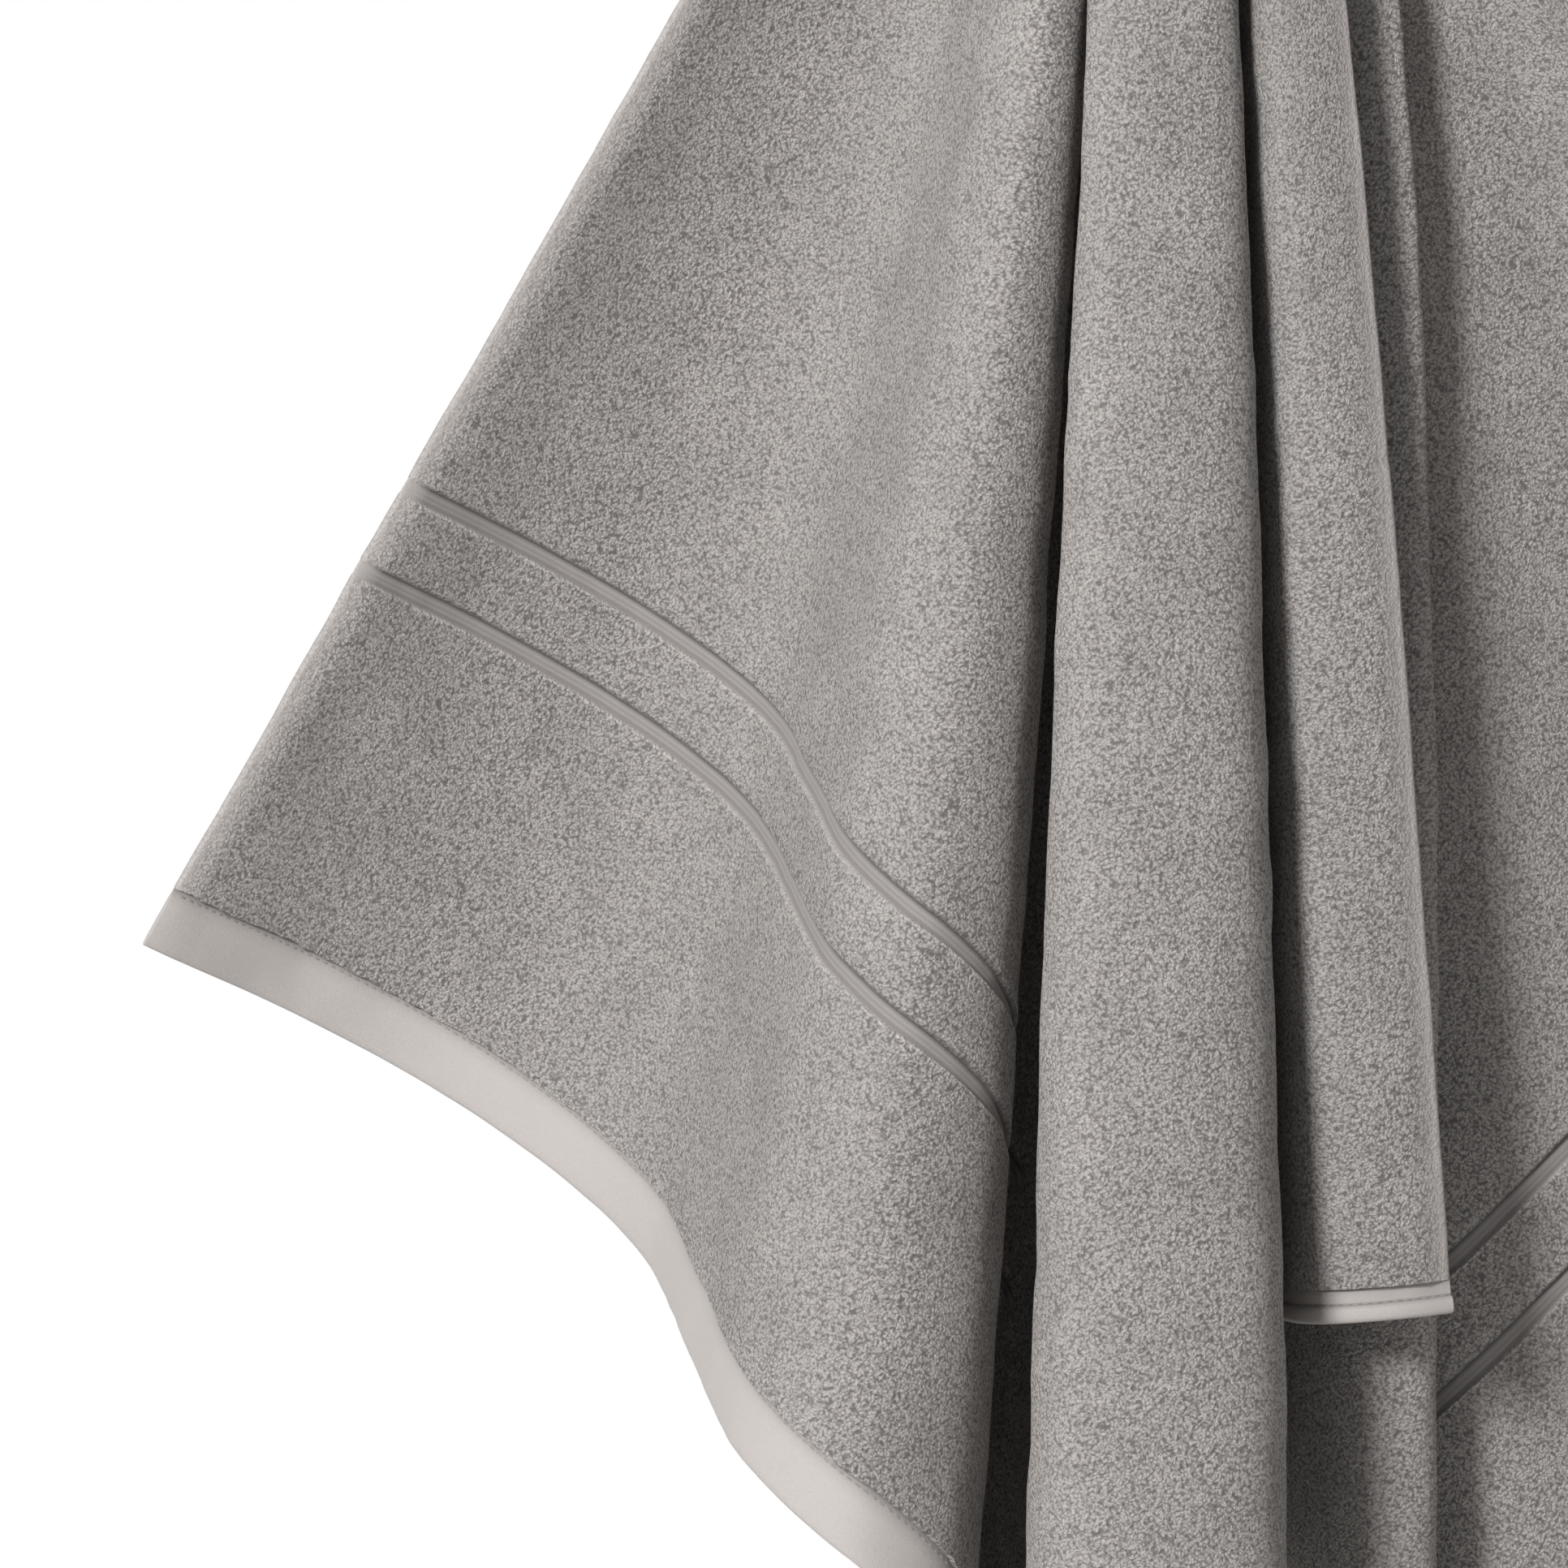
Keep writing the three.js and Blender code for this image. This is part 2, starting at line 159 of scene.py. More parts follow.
left_wing = [
    ray_point(*p) for p in (
        (-29.8, -5.5), (-25, -8.6), (-20.5, -9.6), (-16.6, -8.4), (-14, -6), (-12.2, -1.8),
        (-10.4, 2.3), (-7.8, 4, -8), (-5.7, 3, -12), (-4.85, 1.2, -14))
]
left_valley = [
    (-71, 14, -16, 0), (-70, 50, -16, 0), (-60, 70, -10, 0), (-49, 52, -5, 0), (-45, 10, -5, 0),
    (-46, -32, -14, 0),
]
centre_pleat = [
    (-50, -62, -26, -6), (-38, -84, -16, -10), (-5, -93, 0, -10), (21, -86, 10, -10),
    (32, -66, 17, -8), (28, -30, 13, -4), (22, 20, 8, 0),
]
back_bundle = [
    (18, 66, 4, 0), (8, 90, 0, 0), (0, 70, 0, 0), (0, 30, 0, 0), (-2, -12, 0, 0), (-11, -25, 0, 0),
    (-20, -12, 0, 0), (-24, 25, 0, 0), (-30, 70, 0, 0), (-52, 86, 0, 0), (-90, 82, 0, 0),
    (-124, 88, 0, 0), (-128, 116, 0, 0), (-90, 130, 0, 0), (-30, 126, 0, 0), (20, 134, 0, 0),
    (80, 142, 0, 0), (136, 134, 0, 0), (144, 110, 0, 0), (116, 98, 0, 0), (88, 92, 0, 0),
    (60, 88, 0, 0),
]
side_pleat = [
    (44, 80, 14, 0), (38, 66, 16, 0), (39, 54, 20, 0), (44, 38, 30, -2), (52, 22, 42, -4),
    (61, 8, 56, -6), (69, 1, 72, -8), (78, -2, 88, -8), (85, 2, 103, -8), (87, 12, 97, -8),
    (83, 21, 80, -6), (74, 27, 56, -4), (66, 33, 34, 0), (68, 43, 24, 0),
]
right_wing = [
    ray_point(*p) for p in (
        (5.8, -3, 20), (7.6, -2.6, 14), (9.3, -2.7, 8), (11, -3, 4), (15, -4.1), (19, -4.1),
        (22, -2.6), (25, 1), (27, 5), (29, 6), (31, 2), (32.5, -3))
]
hand_front = [
    (97, -30, 41, -14), (83, -36, 36, -14), (67, -38, 31, -14), (54, -34, 26, -12),
    (45, -20, 22, -10), (37, 14, 18, -6), (31, 46, 12, 0),
]
hand_behind = [
    (28, 76, 8, 0), (20, 98, 0, 0), (0, 104, 0, 0), (-40, 101, 0, 0), (-80, 97, 0, 0),
    (-108, 100, 0, 0), (-110, 110, 0, 0), (-80, 115, 0, 0), (-40, 111, 0, 0), (0, 115, 0, 0),
    (40, 122, 0, 0), (80, 128, 0, 0), (126, 122, 0, 0), (126, 112, 0, 0), (98, 109, 0, 0),
    (66, 106, 0, 0),
]


def cut_table(*groups):
    """Control points with a last column of 1 where the fold is loose."""
    rows = []
    for points, is_loose in groups:
        rows += [(*point, is_loose) for point in points]
    return np.array(rows, float) * np.array([0.001, 0.001, 0.001, 0.001, 1])


bath_cut = cut_table(
    (left_wing, 0), (left_valley, 0), (centre_pleat, 0), (back_bundle, 1), (side_pleat, 0),
    (right_wing, 0))
hand_cut = cut_table((hand_front, 0), (hand_behind, 1))
print(len(bath_cut), "points for the bath towel and", len(hand_cut), "for the hand towel")

# %% A smooth curve through the cut at any distance from the loop
BATH_TOP = np.array([0.0, 0.0, -0.028])
HAND_TOP = np.array([0.004, -0.016, -0.018])
BUNDLE = np.array([0.010, 0.060])


def shoulder_share(level):
    whole = 1 - math.exp(-REACH / SHOULDER)
    return (1 - math.exp(-level * 1000 / SHOULDER)) / whole


def curve_through(points, steps=14):
    """A centripetal spline through points in the plane."""
    ends = np.vstack([2 * points[0] - points[1], points, 2 * points[-1] - points[-2]])
    p = [ends[i:len(ends) - 3 + i] for i in range(4)]
    gap = [np.maximum(np.linalg.norm(p[i + 1] - p[i], axis=1), 1e-7) ** 0.5 for i in range(3)]
    t0 = np.zeros(len(p[0]))
    t1 = t0 + gap[0]
    t2 = t1 + gap[1]
    t3 = t2 + gap[2]
    t = t1[:, None] + (t2 - t1)[:, None] * np.linspace(0, 1, steps, endpoint=False)
    t = t[:, :, None]
    t0, t1, t2, t3 = (x[:, None, None] for x in (t0, t1, t2, t3))
    p0, p1, p2, p3 = (x[:, None, :] for x in p)
    a1 = ((t1 - t) * p0 + (t - t0) * p1) / (t1 - t0)
    a2 = ((t2 - t) * p1 + (t - t1) * p2) / (t2 - t1)
    a3 = ((t3 - t) * p2 + (t - t2) * p3) / (t3 - t2)
    b1 = ((t2 - t) * a1 + (t - t0) * a2) / (t2 - t0)
    b2 = ((t3 - t) * a2 + (t - t1) * a3) / (t3 - t1)
    c = ((t2 - t) * b1 + (t - t1) * b2) / (t2 - t1)
    return np.vstack([c.reshape(-1, 2), points[-1:]])


def ring_at(cut, top, level, fullness):
    """The cloth at one distance from its loop: its points and how far along each one is."""
    grown = level * 1000 / REACH
    start = np.where(cut[:, 4:5] > 0, 0.0, top[:2])
    place = start + (cut[:, :2] - start - cut[:, 2:4]) * grown
    place = place + cut[:, 2:4] * shoulder_share(level)
    middle = BUNDLE * grown
    place = np.where(cut[:, 4:5] > 0, middle + fullness * (place - middle), place)
    flat = curve_through(place)
    aside = ((flat - top[:2]) ** 2).sum(1)
    height = top[2] - np.sqrt(np.maximum(level * level - aside, 1e-6))
    points = np.column_stack([flat, height])
    along = np.concatenate([[0], np.cumsum(np.linalg.norm(np.diff(points, axis=0), axis=1))])
    return points, along


def fullness_for(level):
    """How full the back folds are, so that a half circle of cloth fits at this distance."""
    low, high = 0.3, 1.8
    for halving in range(20):
        middle = (low + high) / 2
        if ring_at(bath_cut, BATH_TOP, level, middle)[1][-1] > math.pi * level:
            high = middle
        else:
            low = middle
    return (low + high) / 2


full_levels = np.arange(0.02, 1.13, 0.02)
full_values = np.array([fullness_for(level) for level in full_levels])
print("back folds are", full_values.min().round(2), "to", full_values.max().round(2), "full")

# %% The two drapes as tables
LEVELS = np.arange(0.006, 1.10, 0.006)
SHARES = np.linspace(0, 1, 1801)
HAND_WIDTH = 0.400


def drape_table(cut, top, width_at):
    rows = []
    for level in LEVELS:
        fullness = float(np.interp(level, full_levels, full_values))
        points, along = ring_at(cut, top, level, fullness)
        want = SHARES * width_at(level, along[-1])
        rows.append(np.column_stack([np.interp(want, along, points[:, i]) for i in range(3)]))
    return np.array(rows)


bath_table = drape_table(bath_cut, BATH_TOP, lambda level, length: length)
hand_table = drape_table(hand_cut, HAND_TOP, lambda level, length: min(length, HAND_WIDTH))


def look_up(table, level, share):
    """Points of a drape at these distances from the loop and shares of the way across."""
    row = np.clip((level - LEVELS[0]) / (LEVELS[1] - LEVELS[0]), 0, len(LEVELS) - 1.001)
    column = np.clip(share, 0, 1) * (len(SHARES) - 1.001)
    i, j = row.astype(int), column.astype(int)
    a, b = (row - i)[..., None], (column - j)[..., None]
    upper = table[i, j] * (1 - b) + table[i, j + 1] * b
    lower = table[i + 1, j] * (1 - b) + table[i + 1, j + 1] * b
    return upper * (1 - a) + lower * a


def bath_at(u, v):
    """Where a place on the flat bath towel hangs: u along from the loop, v down from the edge."""
    angle = np.arctan2(v, -u)
    angle = np.where(angle < -math.pi / 2, angle + 2 * math.pi, angle)
    return look_up(bath_table, np.hypot(u, v), angle / math.pi)


def hand_at(d, v):
    """Where a place on the flat hand towel hangs: d in from its free edge, v down from its top."""
    return look_up(hand_table, v, d / HAND_WIDTH)


print("a place 0.7 m along the left selvedge hangs at", bath_at(np.array(-0.7), np.array(0.0)).round(3))

# %% [markdown]
# ## A towel as a mesh
# A flat grid is laid out with lines along the folds and lines along the hem. Extra lines stand at
# each place where the pile stops: beside the selvedge and on both sides of the woven bands. Every
# corner of the grid is then moved to where that bit of cloth hangs, and Solidify gives the sheet
# its thickness, thick where there is pile and thin where the cloth is woven flat.

# %% From a grid to hanging cloth
PILE = 0.0056


def gentle_waves(u, v, size):
    """Small unevenness of hand-hung cloth, the same for pieces that meet."""
    slow = 0.5 * np.sin(31 * u + 17 * v + 0.4) * np.sin(23 * v - 12 * u + 1.1)
    middle = 0.3 * np.sin(74 * u - 41 * v + 2.0) * np.sin(66 * v + 35 * u)
    lumps = np.array([
        noise.noise(Vector((a * 48, b * 48, 0.7)))
        + 0.55 * noise.noise(Vector((a * 125, b * 125, 3.1)))
        for a, b in zip(u.ravel(), v.ravel())])
    return size * (slow + middle + 0.55 * lumps.reshape(u.shape))


def hang(name, u, v, thickness, marks, at, wave=0.0011):
    """A closed sheet. u and v are grids of places on the flat cloth, rows by columns.
    marks names what the material needs to know at each place, such as where the weave is flat."""
    rows, columns = u.shape
    bpy.ops.object.select_all(action="DESELECT")
    bpy.ops.mesh.primitive_grid_add(x_subdivisions=columns - 1, y_subdivisions=rows - 1, size=1)
    sheet = bpy.context.object
    sheet.name = name
    mesh = sheet.data
    count = len(mesh.vertices)
    flat = np.empty(count * 3)
    mesh.vertices.foreach_get("co", flat)
    flat = flat.reshape(-1, 3)
    column = np.rint((flat[:, 0] + 0.5) * (columns - 1)).astype(int)
    row = np.rint((flat[:, 1] + 0.5) * (rows - 1)).astype(int)
    assert count == rows * columns, (count, rows, columns)
    place = at(u, v)
    step = 0.002
    across = at(u + step, v) - at(u - step, v)
    down = at(u, v + step) - at(u, v - step)
    normal = np.cross(across, down)
    normal /= np.maximum(np.linalg.norm(normal, axis=-1, keepdims=True), 1e-9)
    size = wave * np.clip(np.hypot(u, v) / 0.35, 0, 1)
    place = place + normal * gentle_waves(u, v, size)[..., None]
    mesh.vertices.foreach_set("co", place[row, column].ravel())
    for mark in ("flat_weave", "shade"):
        values = np.broadcast_to(marks.get(mark, np.zeros(1)), u.shape)
        weights = mesh.attributes.new(mark, "FLOAT", "POINT")
        weights.data.foreach_set("value", values[row, column].astype(np.float32))
    uv = mesh.uv_layers[0] if mesh.uv_layers else mesh.uv_layers.new()
    uv.name = "cloth"
    corner = np.empty(len(mesh.loops), int)
    mesh.loops.foreach_get("vertex_index", corner)
    both = np.stack([u, v], -1)[row, column][corner]
    uv.data.foreach_set("uv", both.ravel())
    group = sheet.vertex_groups.new(name="thickness")
    share = thickness / thickness.max()
    steps = np.rint(share[row, column] * 60).astype(int)
    for value in np.unique(steps):
        group.add(np.nonzero(steps == value)[0].tolist(), value / 60, "REPLACE")
    solid = sheet.modifiers.new("thickness", "SOLIDIFY")
    solid.thickness = float(thickness.max())
    solid.offset = 0
    solid.vertex_group = "thickness"
    bpy.ops.object.modifier_apply(modifier="thickness")
    bpy.ops.object.shade_smooth_by_angle(angle=math.radians(60))
    sheet.vertex_groups.clear()
    print(name, len(sheet.data.polygons), "faces")
    return sheet


def lines(start, end, step, extra=()):
    """Even lines from start to end, with extra ones put in and close neighbours dropped."""
    even = np.linspace(start, end, max(int(round((end - start) / step)), 1) + 1)
    extra = np.array([x for x in extra if start < x < end])
    if len(extra):
        even = even[[abs(extra - x).min() > step * 0.3 for x in even]]
    return np.unique(np.concatenate([[start, end], even, extra]))


# %% [markdown]
# ## The bath towel's cloth
# It is one sheet, 76 by 150 cm, hung from near the middle of a long side. It is made here as three
# pieces that meet deep inside two valleys: the left side, the middle with all the folds, and the
# right side. Two woven bands run across the towel near each end.

# %% Sizes on the flat bath towel, in metres
END = {-1: 0.721, 1: 0.780}
WIDTH = 0.760
HEM_WIDTH = 0.023
BAND_PLACES = (0.1890, 0.1560)
BANDS = {side: tuple(end - place for place in BAND_PLACES) for side, end in END.items()}
FLAT_SHARE = 0.34
SELVEDGE_THINNING = 0.45
SELVEDGE_LOOK = 0.75
FIRST_LEVEL = 0.012
ROW_STEP = 0.005
COLUMN_STEP = 0.0034
LEFT_SEAM = math.radians(41.2)
RIGHT_SEAM = math.radians(140.2)

# The pile grows to its full height over these columns, in from a selvedge.
selvedge_columns = np.array([0, 0.0010, 0.0025, 0.0040, 0.0060, 0.0080, 0.0100])

# Across a band, from the side nearer the loop: place, thickness beside the pile's, and painted shade:
# a dark line under the upper pile edge, a darker band with fine lines, and where it is negative a
# painted highlight at the lower pile edge.
band_profile = np.array([
    (-0.0012, 1.00, 0.00), (-0.0003, 0.78, 0.60), (0.0005, 0.26, 1.35), (0.0015, 0.24, 0.80),
    (0.0024, 0.36, 0.50), (0.0034, 0.27, 0.75), (0.0043, 0.38, 0.50), (0.0052, 0.26, 0.85),
    (0.0060, 0.40, 0.70), (0.0068, 1.00, -0.45), (0.0080, 1.00, 0.00)])


def band_lines(side):
    return [start + x for start in BANDS[side] for x in band_profile[:, 0]]


def on_bands(side, length):
    """Thickness share, painted shade (a painted highlight where negative) and how flat the weave is, at
    these lengths from the loop.
    """
    thin, painted_shade, flat = np.ones_like(length), np.zeros_like(length), np.zeros_like(length)
    for start in BANDS[side]:
        x = length - start
        thin = np.minimum(thin, np.interp(x, band_profile[:, 0], band_profile[:, 1]))
        painted_shade = painted_shade + np.interp(x, band_profile[:, 0], band_profile[:, 2])
        flat = np.maximum(flat, np.interp(x, (-0.0002, 0.0006, 0.0062, 0.0070), (0, 1, 1, 0)))
    return thin, painted_shade, flat


def step_between(x, inside, outside):
    """0 at inside and before, 1 at outside and after, in a straight line between."""
    return np.clip((x - inside) / (outside - inside), 0, 1)


def selvedge_share(inward):
    """1 on the selvedge, 0 where the pile has its full height."""
    return 1 - step_between(inward, selvedge_columns[2], selvedge_columns[-1])


def squeezed(level, crowd_level):
    """Cloth is squeezed thinner where it crowds under the loop."""
    return np.clip((level / crowd_level) ** 1.3, 0.12, 1)


def bath_side(name, end_angle, side):
    """One side of the bath towel, from its upper selvedge to the seam in the valley."""
    hem_line = END[side] - HEM_WIDTH
    along = lines(FIRST_LEVEL, hem_line, ROW_STEP, band_lines(side))
    edge = selvedge_columns
    fan = np.linspace(0, 1, int(hem_line * math.tan(end_angle) / COLUMN_STEP))[1:]
    u = np.empty((len(along), len(edge) + len(fan)))
    v = np.empty_like(u)
    for i, length in enumerate(along):
        last = length * math.tan(end_angle)
        inner = min(edge[-1], last * 0.5)
        v[i] = np.concatenate([edge * inner / edge[-1], inner + (last - inner) * fan])
        u[i] = length
    thin, painted_shade, flat = on_bands(side, u)
    selvedge = selvedge_share(v)
    thin = np.minimum(thin, 1 - SELVEDGE_THINNING * selvedge)
    thin = np.where(v < 0.0005, thin * 0.6, thin)
    thick = PILE * squeezed(np.hypot(u, v), 0.30) * thin
    ragged = 0.0011 * np.array([noise.noise(Vector((x * 260, side, 0.3))) for x in v[-1]])
    u[-1] += np.where(v[-1] > 0.002, ragged, 0)
    # The shade mark is painted shade along the bands, with a painted highlight at their lower edge; the
    # selvedge gets none.
    marks = {"flat_weave": np.maximum(flat, SELVEDGE_LOOK * selvedge),
             "shade": painted_shade * (1 - selvedge)}
    if side > 0:
        u, v, thick = (x[:, ::-1] for x in (u, v, thick))
        marks = {key: value[:, ::-1] for key, value in marks.items()}
    return hang(name, side * u, v, thick, marks, bath_at)


left_side = bath_side("bath_towel_left_side", LEFT_SEAM, -1)
right_side = bath_side("bath_towel_right_side", math.pi - RIGHT_SEAM, 1)

# %% The middle of the bath towel
def bath_middle(name):
    """From one seam to the other: the columns are close together only where the cloth shows."""
    left_end, right_end = (END[side] - HEM_WIDTH for side in (-1, 1))
    left_corner = math.atan2(WIDTH, left_end)
    right_corner = math.pi - math.atan2(WIDTH, right_end)
    bottom = np.concatenate([
        np.linspace(-left_end, -0.42, 100), np.linspace(-0.42, 0.56, 123)[1:],
        np.linspace(0.56, right_end, 66)[1:]])
    left = np.linspace(LEFT_SEAM, left_corner, 24)[:-1]
    right = np.linspace(right_corner, RIGHT_SEAM, 20)[1:]
    end_u = np.concatenate([np.full(len(left), -left_end), bottom, np.full(len(right), right_end)])
    end_v = np.concatenate([left_end * np.tan(left), np.full(len(bottom), WIDTH),
                            -right_end * np.tan(right)])
    share = lines(FIRST_LEVEL / WIDTH, 1, 0.0075, (0.9895, 0.9908, 0.9985))
    u = share[:, None] * end_u
    v = share[:, None] * end_v
    selvedge = step_between(share, 0.9895, 0.9908)[:, None] * (end_v > WIDTH - 1e-6)
    thick = PILE * squeezed(np.hypot(u, v), 0.60) * (1 - (1 - FLAT_SHARE) * selvedge)
    return hang(name, u, v, thick, {"flat_weave": selvedge}, bath_at)


middle = bath_middle("bath_towel_middle")

# %% [markdown]
# ## The hand towel's cloth
# The second towel is narrower, 40 by 76 cm. It is gathered along its top and hangs between the
# front pleat and the fold behind it, with one selvedge free. Only about a third of it shows.

# %% Hand towel
HAND_LENGTH = 0.760
HAND_PILE_END = 0.7485
NECK = 0.060
HAND_COLUMNS = 130
hand_d = np.concatenate([selvedge_columns,
                         np.linspace(selvedge_columns[-1], HAND_WIDTH, HAND_COLUMNS)[1:]])


def hand_part(name, start, end):
    d, v = np.meshgrid(hand_d, lines(start, end, ROW_STEP, (HAND_PILE_END - 0.001,)))
    selvedge = selvedge_share(d)
    thin = np.where(d < 0.0005, 0.6, 1) * (1 - SELVEDGE_THINNING * selvedge)
    thick = PILE * squeezed(v, 0.45) * thin
    return hang(name, d, v, thick, {"flat_weave": SELVEDGE_LOOK * selvedge}, hand_at)


hand = hand_part("hand_towel_cloth", NECK, HAND_PILE_END)
hand_neck = hand_part("hand_towel_gathered_neck", FIRST_LEVEL, NECK - 0.0005)

# %% [markdown]
# ## Hems
# Each end of the bath towel is turned over twice and stitched: a flat, firm strip 23 mm wide with
# a rounded outer edge. The hand towel's hem is narrower, with a flat woven band above it.

# %% Hems
HEM = 0.0038


def bath_hem(name, side):
    share = np.array([-0.02, 0.05, 0.10, 0.16, 0.3, 0.5, 0.7, 0.86, 0.95, 1])
    body = np.interp(share, [0, 0.05, 0.10, 0.16, 0.3, 0.86, 0.95, 1],
                     [0.40, 0.62, 0.62, 0.92, 1, 1, 0.82, 0.42])
    # Painted shade along the hem's upper edge, where the pile overhangs it.
    painted_shade = np.interp(share, [0, 0.05, 0.10, 0.2], [0.9, 0.45, 0.25, 0])
    length = END[side] - HEM_WIDTH * (1 - share)
    u, v = np.meshgrid(length, lines(0, WIDTH, COLUMN_STEP), indexing="ij")
    ends = np.clip(np.minimum(v, WIDTH - v) / 0.002, 0, 1)
    thick = HEM * body[:, None] * (0.55 + 0.45 * ends)
    marks = {"flat_weave": np.ones_like(u), "shade": np.broadcast_to(painted_shade[:, None], u.shape)}
    if side > 0:
        u, v, thick = (x[:, ::-1] for x in (u, v, thick))
    return hang(name, side * u, v, thick, marks, bath_at)


left_hem = bath_hem("bath_towel_left_hem", -1)
right_hem = bath_hem("bath_towel_right_hem", 1)

share = np.array([-0.03, 0.06, 0.2, 0.4, 0.46, 0.52, 0.62, 0.85, 0.95, 1])
body = np.interp(share, [0, 0.4, 0.46, 0.52, 0.62, 0.85, 0.95, 1],
                 [0.5, 0.5, 0.42, 0.95, 1.15, 1.15, 0.9, 0.45])
# Painted shade at the top of the hem strip under the pile edge and in the crease between the woven band
# and the hem.
painted_shade = np.interp(share, [0, 0.08, 0.4, 0.46, 0.52, 0.62], [0.8, 0.25, 0.1, 0.9, 0.3, 0])
d, v = np.meshgrid(lines(0, HAND_WIDTH, COLUMN_STEP),
                   HAND_PILE_END + (HAND_LENGTH - HAND_PILE_END) * share)
painted_shade = np.broadcast_to(painted_shade[:, None], d.shape)
hand_hem = hang("hand_towel_hem_strip", d, v, HEM * np.broadcast_to(body[:, None], d.shape),
                {"flat_weave": np.ones_like(d), "shade": painted_shade}, hand_at)

# %% [markdown]
# ## Stitching
# One small bead stands for each stitch. It is modelled once, as a stretched ball of a few faces,
# and set down every 3.4 mm along the hem, on the front and on the back of the cloth.

# %% Stitching
STITCH_STEP = 0.0034
bpy.ops.object.select_all(action="DESELECT")
bpy.ops.mesh.primitive_uv_sphere_add(segments=8, ring_count=5, radius=0.5)
bead = bpy.context.object
bead_shape = np.array([v.co for v in bead.data.vertices])
bead_faces = [tuple(p.vertices) for p in bead.data.polygons]
bpy.data.objects.remove(bead)


def stitches(name, u, v, along_u, lift, at, length=0.0027, width=0.0008):
    """A row of stitches at the places u, v. along_u is True where the row runs along u."""
    step = 0.001
    forward = at(u + step, v) - at(u - step, v)
    sideways = at(u, v + step) - at(u, v - step)
    normal = np.cross(forward, sideways)
    run = forward if along_u else sideways
    run = run / np.linalg.norm(run, axis=1, keepdims=True)
    normal = normal / np.linalg.norm(normal, axis=1, keepdims=True)
    other = np.cross(normal, run)
    size = 0.0011 * np.clip(np.hypot(u, v) / 0.35, 0, 1)
    centre = at(u, v) + normal * gentle_waves(u, v, size)[:, None]
    points, faces = [], []
    for face_side in (-1, 1):
        middle = centre + normal * (face_side * lift)
        for i in range(len(u)):
            base = len(points) * len(bead_shape)
            x, y, z = bead_shape.T[:, :, None]
            points.append(middle[i] + x * width * other[i] + y * width * 0.8 * normal[i]
                          + z * length * run[i])
            faces += [tuple(base + k for k in face) for face in bead_faces]
    mesh = bpy.data.meshes.new(name)
    mesh.from_pydata(np.vstack(points).tolist(), [], faces)
    row = bpy.data.objects.new(name, mesh)
    bpy.context.scene.collection.objects.link(row)
    bpy.ops.object.select_all(action="DESELECT")
    row.select_set(True)
    bpy.context.view_layer.objects.active = row
    bpy.ops.object.mode_set(mode="EDIT")
    bpy.ops.mesh.select_all(action="SELECT")
    bpy.ops.mesh.normals_make_consistent(inside=False)
    bpy.ops.object.mode_set(mode="OBJECT")
    bpy.ops.object.shade_smooth()
    print(name, len(u), "stitches on each face")
    return row


def hem_stitches(name, side):
    every = np.arange(0.004, WIDTH - 0.003, STITCH_STEP)
    line = np.full_like(every, side * (END[side] - HEM_WIDTH * 0.925))
    return stitches(name, line, every, False, HEM * 0.30, bath_at)


left_stitches = hem_stitches("left_hem_stitches", -1)
right_stitches = hem_stitches("right_hem_stitches", 1)
every = np.arange(0.003, HAND_WIDTH - 0.002, STITCH_STEP)
line = np.full_like(every, HAND_PILE_END + 0.0053)
hand_stitches = stitches("hand_hem_stitches", every, line, True, HEM * 0.24, hand_at)

# %% [markdown]
# ## Hanging loops
# Each towel has a loop of folded tape. It goes over the hook at its top, comes together at the
# towel's edge, and its two ends are sewn flat into the gathered cloth.

# %% Hanging loops
TAPE = 0.0012
TAPE_WIDTH = 0.008
loop_line = np.array([
    (-0.0008, -0.047), (-0.0008, -0.038), (-0.0009, -0.030), (-0.0025, -0.024), (-0.0060, -0.0165),
    (-0.0075, -0.010), (-0.0062, -0.0045), (-0.0032, -0.0008), (0.0, 0.0006), (0.0032, -0.0008),
    (0.0062, -0.0045), (0.0075, -0.010), (0.0060, -0.0165), (0.0025, -0.024), (0.0009, -0.030),
    (0.0008, -0.038), (0.0008, -0.047)])


def hanging_loop(name, x, y, bottom_y):
    path = curve_through(loop_line, 6)
    run = np.concatenate([[0], np.cumsum(np.linalg.norm(np.diff(path, axis=0), axis=1))])
    across = np.array([-0.5, -0.46, -0.2, 0.2, 0.46, 0.5]) * TAPE_WIDTH

    def at(u, v):
        px, pz = np.interp(u, run, path[:, 0]), np.interp(u, run, path[:, 1])
        low = np.clip((-pz - 0.024) / 0.02, 0, 1)
        return np.stack([x * low + px, y + (bottom_y - y) * low + v * (1 - 0.45 * low), pz], -1)

    u, v = np.meshgrid(run, across)
    thick = TAPE * np.where(abs(v) > 0.0038, 0.6, 1.0)
    return hang(name, u, v, thick, {}, at, wave=0)


bath_loop = hanging_loop("bath_hanging_loop", 0.0, 0.0, 0.004)
hand_loop = hanging_loop("hand_hanging_loop", 0.004, -0.013, -0.015)

# %% [markdown]
# ## Terry cloth
# Terry is woven with thousands of small loops of yarn. Seen from a step away they are fine specks,
# light at the tips and dark in between. The colour holds painted shade between the loops and a
# painted highlight on their tips, over random speckle. A cell pattern about 1 mm across gives the
# loops, a finer noise the yarn, and slow noise the patches where the pile leans another way. Where
# the cloth is woven flat the same material changes to a fine rib.

# %% Terry material
def node(tree, kind, **inputs):
    made = tree.nodes.new(kind)
    for key, value in inputs.items():
        made.inputs[key.replace("_", " ")].default_value = value
    return made


def mix_colour(tree, factor, first, second, mode="MIX"):
    made = tree.nodes.new("ShaderNodeMix")
    made.data_type = "RGBA"
    made.blend_type = mode
    for index, value in ((0, factor), (6, first), (7, second)):
        if hasattr(value, "is_output"):
            tree.links.new(value, made.inputs[index])
        else:
            made.inputs[index].default_value = value
    return made.outputs[2]


